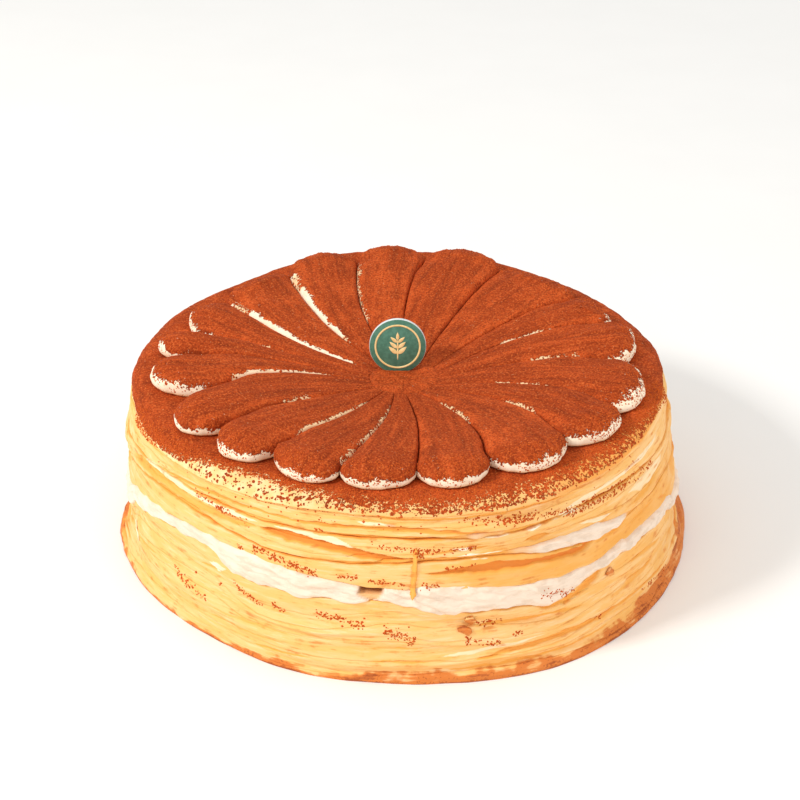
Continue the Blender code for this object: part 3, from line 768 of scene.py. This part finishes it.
FLOWER_CENTRE = Vector((2.0, -10.0, 0.0))
PETAL_START = 13.5
GROOVE_END_RADIUS = 88.5
GROOVE_END_SHIFT = 3.0
PETAL_TIP_RADIUS = 97.3
PETAL_TIP_SHIFT = 2.0
FLOWER_SHIFT_TOWARDS = 300
CREST_SETBACK = 11.0
PETAL_HEIGHT = 9.0
BACK_SLUMP = 0.03
RIM_SLUMP = 0.03
RIM_FOLLOWING = 1.1
PETAL_START_HEIGHT = 1.7
GROOVE_DEPTH = 3.9
SIDE_DEPTH = 0.3  # the grooves between petals are this much as deep as the drop at their tips
BARE_DEPTH = 0.25  # and this much deeper where the cream shows
PIECE_GAP = 0.3
PETAL_CLEARANCE = 0.02
SIDE_STEPS = 84
TIP_STEPS = 60
GROOVES = (  # angle, bow to the right of the way in at half way, how far short of the ring it ends
    (274, 2.5, 2.5),
    (291, 5.0, 4.7),
    (311, 7.0, 3.4),
    (330, 6.0, 1.5),
    (354, 4.5, 6.5),
    (375, 6.0, 2.5),
    (393, 4.0, 3.0),
    (420, 2.0, 2.5),
    (442.5, 4.5, 2.0),
    (462, 6.0, 2.0),
    (484, 6.0, 3.0),
    (509, 5.5, 5.0),
    (530.5, 0.5, 10.5),
    (543, -1.0, 9.0),
    (564, -9.0, 12.0),
    (583.5, -2.0, 5.0),
    (600, 3.0, 4.4),
    (617, 4.0, 0.2),
)
# Where cream shows in a groove: its angle, from and to which share of the way out, how bare, on which petal's
# side of it (-1 the petal before it, 1 the one after).
BARE_GROOVES = (
    (509, 0.10, 0.86, 1.3, -1),
    (509, 0.80, 1.05, 0.62, -1),
    (484, 0.26, 0.80, 1.1, -1),
    (484, 0.70, 1.02, 0.6, -1),
    (462, 0.32, 0.95, 0.55, -1),
    (530.5, 0.52, 0.74, 0.5, -1),
    (564, 0.22, 0.84, 0.9, -1),
    (583.5, 0.40, 0.62, 0.6, -1),
    (600, 0.18, 0.80, 0.75, -1),
    (617, 0.16, 0.94, 0.6, -1),
    (274, 0.08, 0.85, 0.7, -1),
    (291, 0.20, 0.55, 0.55, 1),
    (311, 0.45, 0.75, 0.6, 1),
    (330, 0.30, 0.62, 0.7, 1),
    (354, 0.50, 0.78, 0.72, 1),
    (375, 0.36, 0.66, 0.85, 1),
)
# How much further up a lip stays bare, towards the petal's first groove and its last, and how slowly the cocoa
# thickens from there. The other petals have (0, 0, 0).
BARE_LIPS = {
    1: (-0.05, -0.1, 0.15),
    2: (0.0, -0.05, 0.3),
    3: (0.1, 0.1, 0.4),
    4: (0.35, 0.3, 0.5),
    5: (0.4, 0.2, 0.3),
    6: (0.3, 0.0, 0.3),
    12: (0.0, 0.4, 0.2),
    13: (0.1, 0.2, 0.2),
    14: (0.1, 0.22, 0.35),
    15: (-0.2, -0.15, 0.15),
    16: (-0.05, -0.05, 0.2),
    17: (-0.1, -0.1, 0.2),
    18: (-0.1, -0.1, 0.15),
}
CREAM_TRAITS = ("cover", "along", "across", "number", "foot", "tone_and_shading", "groove")
PETAL_ROWS = (  # inset from the edge towards the crest, share of the lip's height
    (1.0, 0.0),
    (0.5, 0.0),
    (0.13, 0.0),
    (0.05, 0.06),
    (0.018, 0.18),
    (0.004, 0.32),
    (0.0, 0.46),
    (0.002, 0.60),
    (0.012, 0.73),
    (0.030, 0.84),
    (0.056, 0.92),
    (0.09, 0.97),
    *((0.13 + 0.87 * step / 15, 1.0) for step in range(16)),
)


PETAL_CREAM = (253, 237, 212)
PETAL_SHADE = (245, 217, 184)
LIP_FOOT_SHADE = (250, 212, 150)
GROOVE_TAN = (248, 206, 152)


def petal_finish():
    finish = Finish("dusted_cream", 0.85, 0.08)
    where = finish.place()
    flow = finish.node(
        "ShaderNodeCombineXYZ", {"X": finish.trait("along"), "Y": finish.trait("across"), "Z": finish.trait("number")}
    ).outputs["Vector"]
    streaks = finish.noise(flow, 1.0, 4, 0.6)
    soft = finish.noise(where, 4, 3)
    below = finish.mix(finish.step(soft, 0.4, 0.7, 0, 0.7), PETAL_CREAM, PETAL_SHADE)
    # Painted shade: the foot of each lip is a darker yellow.
    below = finish.mix(finish.trait("foot"), below, LIP_FOOT_SHADE)
    below = finish.mix(finish.trait("groove"), below, GROOVE_TAN)
    colour, height = cocoa_over(finish, below, finish.trait("cover"), finish.trait("tone_and_shading"), where, streaks)
    relief = finish.bump(streaks, 0.4)
    return finish.done(colour, finish.bump(height, 0.6, relief))


def shifted(radius, shift, turn):
    return radius + shift * math.cos(math.radians(turn - FLOWER_SHIFT_TOWARDS))


def groove_line(groove):
    """The groove seen from above, as points from its inner end outwards, and its sideways direction."""
    angle, bow, short = groove
    end = polar(shifted(GROOVE_END_RADIUS, GROOVE_END_SHIFT, angle) - short, angle)
    outward = (end - FLOWER_CENTRE).normalized()
    sideways = Vector((-outward.y, outward.x, 0.0))
    start = FLOWER_CENTRE + outward * PETAL_START
    shares = [step / SIDE_STEPS for step in range(SIDE_STEPS + 1)]
    return [start.lerp(end, share) + sideways * bow * 4 * share * (1 - share) for share in shares], sideways


def petal_outline(first_groove, last_groove, tip_radius):
    """The petal seen from above: (edge point, point under the crest, share of the way out, side)."""
    first, first_side = groove_line(first_groove)
    last, last_side = groove_line(last_groove)
    clearance = PETAL_CLEARANCE
    first = [point + first_side * clearance for point in first]
    last = [point - last_side * clearance for point in last]
    middle = (first[-1] + last[-1]) / 2
    outward = middle.normalized()
    tip_depth = tip_radius - middle.length
    crest = middle + outward * (tip_depth - CREST_SETBACK)
    outline = []
    for step in range(SIDE_STEPS):
        share = step / SIDE_STEPS
        outline.append((first[step], (first[step] + last[step]) / 2, share, 1.0))
    for step in range(TIP_STEPS + 1):
        turn = math.pi * step / TIP_STEPS
        across = (last[-1] - first[-1]) / 2 * -math.cos(turn)
        outline.append((middle + across + outward * tip_depth * math.sin(turn), crest, 1.0, math.cos(turn)))
    for step in reversed(range(SIDE_STEPS)):
        share = step / SIDE_STEPS
        outline.append((last[step], (first[step] + last[step]) / 2, share, -1.0))
    # The crest runs out from under the middle line to its highest point over the last part of the way.
    blended = []
    for edge, under, share, side in outline:
        blended.append((edge, under.lerp(crest, ramp(share, 0.86, 1.0)) if share < 1 else crest, share, side))
    return blended


def bareness(groove, side, share):
    """How much cream shows on this petal's side of a groove, at a share of the way out."""
    shown = 0.0
    for angle, start, end, strength, where in BARE_GROOVES:
        if angle == groove[0] and where == side:
            fray = 0.05 * noise.noise(Vector((share * 40, angle, 0.5)))
            shown = max(shown, strength * ramp(share + fray, start, start + 0.07) * ramp(share + fray, end + 0.05, end - 0.03))
    return shown


def add_petal(number, first_groove, last_groove, rng, material):
    middle_angle = (first_groove[0] + last_groove[0]) / 2
    rim = round_the_cake(TOP_ROUNDNESS, middle_angle, 1)
    tip_radius = shifted(PETAL_TIP_RADIUS, PETAL_TIP_SHIFT, middle_angle) + RIM_FOLLOWING * rim
    outline = petal_outline(first_groove, last_groove, tip_radius + rng.uniform(-0.6, 0.6))
    back = max(0.0, math.sin(math.radians(middle_angle)))
    size = rng.uniform(0.95, 1.03) - BACK_SLUMP * back + RIM_SLUMP * rim
    lean = rng.uniform(-0.5, 0.5)
    bare_first, bare_last, slow = BARE_LIPS.get(number, (0.0, 0.0, 0.0))
    outward_tip = (outline[SIDE_STEPS][1] - FLOWER_CENTRE).normalized()
    sideways_tip = Vector((-outward_tip.y, outward_tip.x, 0.0))

    def place(column, row):
        edge, crest, share, side = outline[column]
        inset, lip = PETAL_ROWS[row]
        groove, which = (first_groove, 1) if side > 0 else (last_groove, -1)
        bare = bareness(groove, which, share) if share < 1 else 0.0
        tip = ramp(share, 0.72, 1.0)
        full = (PETAL_START_HEIGHT + (PETAL_HEIGHT - PETAL_START_HEIGHT) * share) * size
        shallow = SIDE_DEPTH + BARE_DEPTH * bare
        depth = GROOVE_DEPTH * (shallow + (1 - shallow) * tip)
        wall = full - min(depth * math.sqrt(share), 0.6 * full)
        dome = 1 - (1 - inset) ** (3.0 - (0.7 + 0.5 * back) * tip) if lip > 0.8 else 0.0
        spot = edge.lerp(crest, inset)
        across = (spot - crest).dot(sideways_tip)
        along = (spot - FLOWER_CENTRE).dot(outward_tip)
        ripple = 0.7 * noise.noise(Vector((spot.x / 8, spot.y / 8, number)))
        ripple += 0.3 * noise.noise(Vector((spot.x / 2.6, spot.y / 2.6, number + lip * 1.3)))
        outward = (edge - crest).normalized() * ripple * ramp(inset, 0.4, 0.05) * (0.25 + 0.75 * tip)
        rise = wall * lip + (full - wall) * dome * ramp(lip, 0.7, 1.0)
        if lip >= 0.73:
            streak = noise.noise(Vector((across / 2.6, along / 26, number * 3.7)))
            lump = noise.noise(Vector((spot.x / 9, spot.y / 9, number * 1.9)))
            grain = noise.noise(Vector((spot.x / 1.3, spot.y / 1.3, 5.0)))
            rise += (0.5 * streak + 0.55 * lump) * share + 0.14 * grain
        rise += lean * share * side * ramp(inset, 1.0, 0.2) * lip * 0.6
        spot = spot + outward
        open_lip = ramp(share, 0.93, 1.0)
        drift = 0.12 * noise.noise(Vector((spot.x / 4.5, spot.y / 4.5, 9.0)))
        bare_end = bare_last + (bare_first - bare_last) * (0.5 + 0.5 * side)
        thin_end = (0.25 * abs(side) ** 3 if share >= 1 else 0.25) * max(0.0, 1 - 2 * bare_end)
        lip_cover = ramp(lip + 1.5 * inset + 2.4 * drift + thin_end - 0.6 * bare_end, 0.52, 0.94 + slow)
        groove_cover = max(0.0, 1 - bare * ramp(inset + drift, 0.16 + 0.14 * bare, 0.02))
        cover = 1 - (1 - lip_cover) * open_lip
        if share < 1:
            cover = min(cover, groove_cover)
        # The lower part of each lip, where it meets the crepe, carries painted shade.
        foot = ramp(lip, 0.34, 0.0) * open_lip
        beside = ramp(inset, 0.55, 0.05) * ramp(share, 0.15, 0.5) * (1 - open_lip)
        # The cocoa is brighter beside the grooves and at random; on the front petals it is darker, which is painted
        # shade.
        tone_and_shading = 0.25 + 0.5 * beside + 0.35 * noise.noise(Vector((number * 2.7, 0.3, 0.5))) - 0.15 * (1 - back)
        point = Vector((spot.x, spot.y, dish(spot.length) + PIECE_GAP + max(0.0, rise)))
        tan = 0.0 if share >= 1 else 0.8 * (1 - open_lip) * ramp(bare, 1.1, 0.7)
        return point, (cover, along / 26, across / 2.6, number * 3.7, foot, tone_and_shading, tan)

    bm = skin(len(outline), len(PETAL_ROWS) - 1, CREAM_TRAITS, place)
    return add_piece(f"dusted_petal_{number:02d}", bm, material, "cocoa", f"petal_{number:02d}")


petal_rng = random.Random(7)
dusted_cream = petal_finish()
petals = [
    add_petal(number, first, last, petal_rng, dusted_cream)
    for number, (first, last) in enumerate(zip(GROOVES, (*GROOVES[1:], (GROOVES[0][0] + 360, *GROOVES[0][1:]))), 1)
]


# --- The cream in the flower's centre --------------------------------------------------------------------
# A low spread of cream where the petals run together, dusted like them. The disc was pushed into it.

CENTRE_RADIUS = 13.8
CENTRE_HEIGHT = 1.9


def add_centre(material):
    columns, rows = 120, 28

    def place(column, row):
        turn = 360 * column / columns
        top_row = row - 4
        share = 1.0 if top_row < 0 else 1 - top_row / (rows - 4)
        if row < 3:
            share, lift = (0.0, 0.9, 1.0)[row], (0.0, 0.0, 0.4)[row]
        else:
            lift = 0.75 + 0.25 * ramp(share, 1.0, 0.85)
        spot = FLOWER_CENTRE + polar(CENTRE_RADIUS * share, turn)
        swell = 0.6 * noise.noise(spot / 4) + 0.15 * noise.noise(spot / 1.2) if row >= 3 else 0.0
        height = dish(spot.length) + PIECE_GAP + CENTRE_HEIGHT * lift + swell
        return Vector((spot.x, spot.y, height)), (1.0, share * CENTRE_RADIUS / 26, turn / 8, 2.0, 0.0, 0.4, 0.0)

    bm = skin(columns, rows, CREAM_TRAITS, place)
    return add_piece("dusted_cream_centre", bm, material, "cocoa", "cream_centre")


centre = add_centre(dusted_cream)


# --- The loose cocoa -------------------------------------------------------------------------------------
# Coarse grains of sifted cocoa that lie loose: along the petals' lips, over the front of the shoulder, and
# where some drifted down the wall and caught on the edges of the crepes.

GRAIN_CORNERS = (4, 2)
WALL_DRIFTS = (  # turn from and to, height from and to at those turns, half width, number of grains
    (227.5, 241.5, 59.0, 56.2, 1.0, 60),
    (233.5, 236.5, 58.0, 57.4, 0.8, 40),
    (238.5, 240.5, 46.6, 46.4, 0.6, 12),
    (242.5, 255.5, 48.0, 42.6, 1.0, 150),
    (258.7, 262.5, 43.2, 43.0, 0.7, 26),
    (264.5, 271.0, 42.4, 40.5, 0.7, 40),
    (254.5, 256.0, 59.2, 59.2, 0.5, 12),
    (265.0, 275.5, 55.6, 53.0, 0.7, 60),
    (273.0, 274.6, 53.6, 51.2, 1.0, 36),
    (273.8, 284.4, 53.4, 52.2, 0.7, 70),
    (281.0, 301.0, 63.6, 59.2, 0.9, 80),
    (288.0, 295.5, 62.0, 60.4, 0.9, 90),
    (301.4, 332.0, 57.8, 54.4, 1.2, 170),
    (302.0, 321.0, 57.6, 55.4, 1.2, 220),
    (278.5, 285.0, 46.4, 46.2, 0.6, 26),
    (273.8, 277.3, 40.0, 40.2, 0.7, 22),
    (296.0, 304.0, 31.5, 25.8, 1.4, 60),
    (238.0, 244.5, 29.0, 24.0, 1.2, 70),
    (246.5, 249.0, 26.8, 24.2, 0.9, 30),
    (255.0, 264.0, 26.6, 24.0, 1.0, 100),
    (221.0, 221.6, 22.0, 22.0, 0.3, 5),
    (227.0, 227.6, 24.7, 24.7, 0.3, 5),
    (233.7, 234.3, 25.6, 25.6, 0.3, 5),
    (222.0, 231.0, 20.6, 17.0, 0.9, 60),
    (267.3, 273.0, 23.2, 18.4, 1.4, 100),
    (284.0, 289.6, 22.0, 22.0, 0.8, 30),
    (282.0, 288.5, 17.2, 13.4, 1.0, 50),
    (291.0, 293.0, 16.2, 15.8, 0.9, 18),
    (309.0, 311.0, 10.0, 10.0, 0.7, 16),
    (324.0, 336.0, 7.2, 4.8, 0.7, 30),
    (240.0, 271.0, 66.0, 66.2, 0.5, 60),
    (215.0, 330.0, 63.0, 63.0, 2.5, 60),
)
SHOULDER_GRAINS = 6500
LIP_GRAINS = 3600


def wall_grains(surface, rng):
    for first, last, low, high, spread, count in WALL_DRIFTS:
        for _ in range(count):
            share = rng.random()
            turn = first + (last - first) * share
            height = low + (high - low) * share + rng.gauss(0, spread * 0.8)
            found = landing(surface, polar(140, turn, height), -polar(1, turn))
            if found:
                yield found, rng.triangular(0.18, 0.62, 0.27)


def shoulder_grains(surface, rng):
    for _ in range(SHOULDER_GRAINS):
        turn = rng.uniform(200, 350)
        full, last = (round_the_cake(COCOA_REACH, turn, column) for column in (1, 2))
        radius = rng.triangular(full - 6, last, full + 4)
        found = landing(surface, polar(radius + 14, turn, 92), polar(-14, turn, -22))
        if found and found[0].xy.length > 96:
            yield found, rng.triangular(0.16, 0.55, 0.24)


def lip_grains(surface, rng):
    for _ in range(LIP_GRAINS):
        turn = rng.uniform(0, 360)
        radius = rng.uniform(86, 98)
        found = landing(surface, polar(radius + 30, turn, 96), polar(-30, turn, -20))
        if found and found[0].xy.length < 98:
            yield found, rng.triangular(0.18, 0.5, 0.25)


def cocoa_grain_finish():
    finish = Finish("cocoa_grain", 1.0, 0.0)
    grain = finish.noise(finish.place(), 0.8, 2)
    colour = finish.mix(finish.step(grain, 0.35, 0.65), (186, 79, 33), (216, 106, 48))
    return finish.done(colour, finish.bump(finish.noise(finish.place(), 0.2, 2), 0.08))


def add_grains(name, spots, rng, material):
    """One mesh of many small flattened grains, each turned at random and pressed onto the surface."""
    spots = list(spots)
    grain = bmesh.new()
    bmesh.ops.create_uvsphere(grain, u_segments=GRAIN_CORNERS[0], v_segments=GRAIN_CORNERS[1], radius=1.0)
    mesh = bpy.data.meshes.new(name)
    grain.to_mesh(mesh)
    grain.free()
    corners = len(mesh.vertices)
    row = bpy.data.objects.new(name, mesh)
    bpy.context.scene.collection.objects.link(row)
    copies = row.modifiers.new("copies", "ARRAY")
    copies.count = len(spots)
    copies.use_relative_offset = False
    copies.use_constant_offset = True
    copies.constant_offset_displace = (3.0, 0.0, 0.0)
    graph = bpy.context.evaluated_depsgraph_get()
    bm = bmesh.new()
    bm.from_object(row, graph)
    bpy.data.objects.remove(row)
    bm.verts.ensure_lookup_table()
    for number, ((spot, facing), size) in enumerate(spots):
        turned = facing.to_track_quat("Z", "X").to_matrix() @ Matrix.Rotation(rng.uniform(0, 6.3), 3, "Z")
        stretch = Vector((rng.uniform(0.8, 1.35), rng.uniform(0.7, 1.1), rng.uniform(0.45, 0.75))) * size
        for v in bm.verts[number * corners:(number + 1) * corners]:
            shape = v.co - Vector((3.0 * number, 0, 0))
            v.co = spot + turned @ Vector(a * b for a, b in zip(shape, stretch))
    return add_piece(name, bm, material, "cocoa")


grain_rng = random.Random(31)
cocoa_grain = cocoa_grain_finish()
landing_place = surface_of([*wall_pieces, top_crepe, *petals])
add_grains(
    "cocoa_grains",
    (*wall_grains(landing_place, grain_rng), *shoulder_grains(landing_place, grain_rng), *lip_grains(landing_place, grain_rng)),
    grain_rng,
    cocoa_grain,
)


# --- The chocolate disc ----------------------------------------------------------------------------------
# A coin of white chocolate with a green coloured face, pushed into the cream so that it leans back a little.
# A pale gold sprig inside a thin ring is painted on its face with cocoa butter.

DISC_RADIUS = 11.0
DISC_THICKNESS = 2.2
DISC_LEAN = 8.0
DISC_CENTRE = Vector((-0.4, -0.7, 76.1))
DISC_GREEN = (84, 134, 114)
DISC_EDGE = (214, 222, 226)
MOTIF_GOLD = (251, 224, 164)
FACE_RADIUS = 10.85
RING_RADIUS = 8.6
LINE_WIDTH = 0.75
PAINT_HEIGHT = 0.18
SPRIG_PAIRS = 3
SPRIG_FOOT = -5.6


def on_the_disc(bm):
    """Turns a shape modelled flat, facing +Z, so that it stands on the disc's place facing the front."""
    upright = Matrix.Rotation(math.radians(90 - DISC_LEAN), 4, "X")
    bmesh.ops.transform(bm, matrix=Matrix.Translation(DISC_CENTRE) @ upright, verts=bm.verts)
    return bm


def turned_coin(radius, bottom, top, rounding):
    """A round coin whose edges are rounded, turned from its outline."""
    bm = bmesh.new()
    outline = [(0.0, bottom), (radius - rounding, bottom), (radius, bottom + rounding)]
    outline += [(radius, top - rounding), (radius - rounding, top), (0.0, top)]
    points = [bm.verts.new((x, 0.0, z)) for x, z in outline]
    edges = [bm.edges.new(pair) for pair in zip(points, points[1:])]
    bmesh.ops.spin(
        bm, geom=points + edges, cent=(0, 0, 0), axis=(0, 0, 1), angle=2 * math.pi, steps=96, use_merge=True
    )
    bmesh.ops.remove_doubles(bm, verts=bm.verts, dist=SEAM)
    bmesh.ops.recalc_face_normals(bm, faces=bm.faces)
    return bm


def painted_finish(name, base, shade, size, roughness):
    finish = Finish(name, roughness, 0.3)
    brushed = finish.noise(finish.place(), size, 3)
    colour = finish.mix(finish.step(brushed, 0.35, 0.65), base, shade)
    return finish.done(colour, finish.bump(brushed, 0.05))


def add_leaf(bm, base, direction, length):
    """A pointed leaf: a round drop of paint drawn out along its direction."""
    made = bmesh.ops.create_uvsphere(bm, u_segments=20, v_segments=8, radius=1.0)["verts"]
    for v in made:
        along = v.co.x
        width = 0.19 * (1 - 0.35 * along) * (1 - 0.55 * abs(along) ** 3)
        v.co = Vector((length / 2 * (1 + along), v.co.y * length * width, v.co.z * PAINT_HEIGHT))
    place = Matrix.Translation(base) @ Matrix.Rotation(math.radians(direction), 4, "Z")
    bmesh.ops.transform(bm, matrix=place, verts=made)


def add_stem(bm):
    """The sprig's stem, a thin line of paint."""
    made = bmesh.ops.create_uvsphere(bm, u_segments=16, v_segments=8, radius=1.0)["verts"]
    for v in made:
        v.co = Vector((v.co.x * 0.32, SPRIG_FOOT + 4.3 * (1 + v.co.y), v.co.z * PAINT_HEIGHT))


def add_disc():
    top = DISC_THICKNESS / 2
    green = painted_finish("disc_green", DISC_GREEN, (72, 118, 99), 1.6, 0.45)
    pale = painted_finish("disc_chocolate", DISC_EDGE, (232, 234, 230), 2.5, 0.35)
    gold = painted_finish("disc_gold", MOTIF_GOLD, (240, 205, 138), 1.2, 0.45)
    add_piece("disc_coin", on_the_disc(turned_coin(DISC_RADIUS, -top, top, 0.4)), pale, "disc", "disc")
    add_piece("disc_face", on_the_disc(turned_coin(FACE_RADIUS, top - 0.5, top + 0.06, 0.05)), green, "disc")
    ring = bmesh.new()
    section = bmesh.ops.create_circle(ring, segments=10, radius=LINE_WIDTH / 2)["verts"]
    for v in section:
        v.co = Vector((RING_RADIUS + v.co.x, 0.0, v.co.y / LINE_WIDTH * 2 * PAINT_HEIGHT))
    bmesh.ops.spin(
        ring,
        geom=section + list(ring.edges),
        cent=(0, 0, 0),
        axis=(0, 0, 1),
        angle=2 * math.pi,
        steps=120,
        use_merge=True,
    )
    bmesh.ops.remove_doubles(ring, verts=ring.verts, dist=SEAM)
    bmesh.ops.recalc_face_normals(ring, faces=ring.faces)
    for number in range(SPRIG_PAIRS):
        height = SPRIG_FOOT + 2.6 + 2.3 * number
        for side in (-1, 1):
            add_leaf(ring, Vector((0.2 * side, height, 0.0)), 90 - 48 * side, 4.4 - 0.5 * number)
    add_leaf(ring, Vector((0.0, SPRIG_FOOT + 8.2, 0.0)), 90, 3.2)
    add_stem(ring)
    bmesh.ops.translate(ring, vec=(0, 0, top + 0.06), verts=ring.verts)
    add_piece("disc_motif", on_the_disc(ring), gold, "disc")


add_disc()


# --- The table, the light and the camera -----------------------------------------------------------------
# A plain white table that fades into a white room, one large soft lamp from the left and a weak one from
# the right. The camera looks down on the front of the cake.

CAMERA_TARGET = Vector((0.0005, 0.0, 0.0515))
CAMERA_DISTANCE = 0.7
CAMERA_TILT = 29.38
CAMERA_LENS = 79.8


def add_lamp(name, spot, size, power, colour):
    lamp = bpy.data.lights.new(name, "AREA")
    lamp.size = size
    lamp.energy = power
    lamp.color = colour
    holder = bpy.data.objects.new(name, lamp)
    holder.location = spot
    holder.rotation_euler = (CAMERA_TARGET - Vector(spot)).to_track_quat("-Z", "Y").to_euler()
    bpy.context.scene.collection.objects.link(holder)


def add_table():
    bm = bmesh.new()
    bmesh.ops.create_circle(bm, cap_ends=True, segments=64, radius=3.0)
    mesh = bpy.data.meshes.new("table")
    bm.to_mesh(mesh)
    bm.free()
    table = Finish("table_white", 0.9, 0.1)
    cloudy = table.noise(table.place(), 60, 2)
    colour = table.mix(cloudy, (250, 250, 249), (246, 246, 245))
    mesh.materials.append(table.done(colour, table.bump(cloudy, 0.02)))
    floor = bpy.data.objects.new("table", mesh)
    bpy.context.scene.collection.objects.link(floor)


def add_camera():
    lens = bpy.data.cameras.new("camera")
    lens.lens = CAMERA_LENS
    lens.clip_start = 0.01
    camera = bpy.data.objects.new("camera", lens)
    tilt = math.radians(CAMERA_TILT)
    camera.location = CAMERA_TARGET + CAMERA_DISTANCE * Vector((0, -math.cos(tilt), math.sin(tilt)))
    camera.rotation_euler = (math.pi / 2 - tilt, 0, 0)
    bpy.context.scene.collection.objects.link(camera)
    bpy.context.scene.camera = camera


def add_room(strength):
    world = bpy.data.worlds.new("room")
    world.use_nodes = True
    world.node_tree.nodes["Background"].inputs["Color"].default_value = (1.0, 0.99, 0.97, 1.0)
    world.node_tree.nodes["Background"].inputs["Strength"].default_value = strength
    bpy.context.scene.world = world


add_table()
add_room(0.84)
add_lamp("window", (-0.85, -0.45, 0.85), 0.2, 9.0, (1.0, 0.97, 0.92))
add_lamp("reflector", (0.8, -0.75, 0.4), 0.6, 2.0, (1.0, 0.96, 0.9))
add_camera()
bpy.context.scene.view_settings.view_transform = "Standard"
